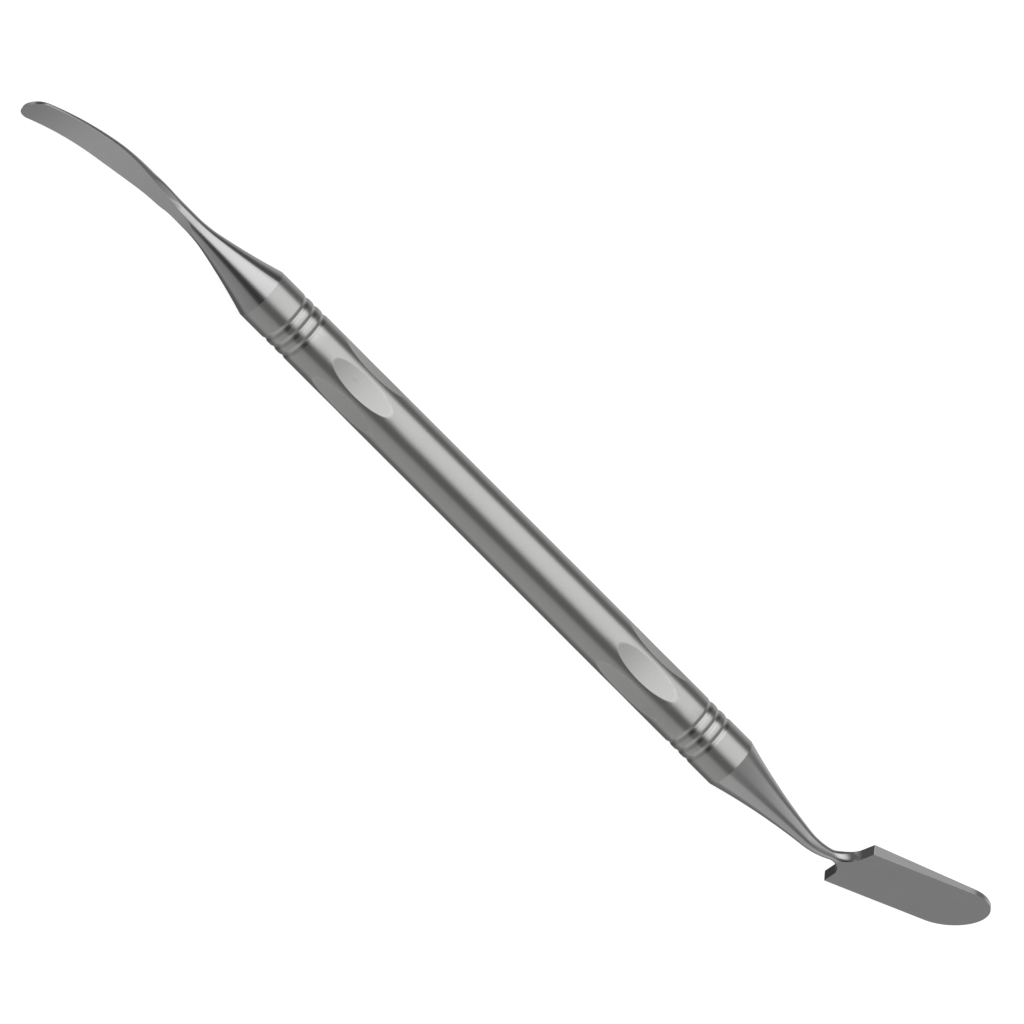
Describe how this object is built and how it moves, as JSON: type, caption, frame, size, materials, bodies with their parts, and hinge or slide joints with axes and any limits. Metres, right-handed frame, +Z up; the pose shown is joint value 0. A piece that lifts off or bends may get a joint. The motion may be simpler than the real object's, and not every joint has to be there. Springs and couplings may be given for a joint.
{
  "type": "periosteal elevator",
  "caption": "Double-ended hand instrument: a round scalloped handle with a slim curved blade at one end and a broad flat cranked blade at the other.",
  "frame": {"origin": "middle of the bottom of the bounding box, on the surface that the instrument lies on", "axes": "+X runs along the handle towards the broad cranked blade, nearly level; the slim blade is at -X; +Z is up, the instrument lying at rest on the slim blade's edge, the handle's rim and a shoulder of the broad blade"},
  "size_m": [0.1776, 0.0184, 0.0129],
  "materials": {
    "handle_steel": "fine bead-blasted satin",
    "blade_steel": "satin"
  },
  "bodies": {
    "root": {"handle_tube": "handle_steel", "slim_blade_end": "blade_steel", "broad_blade_end": "blade_steel"}
  },
  "joints": []
}
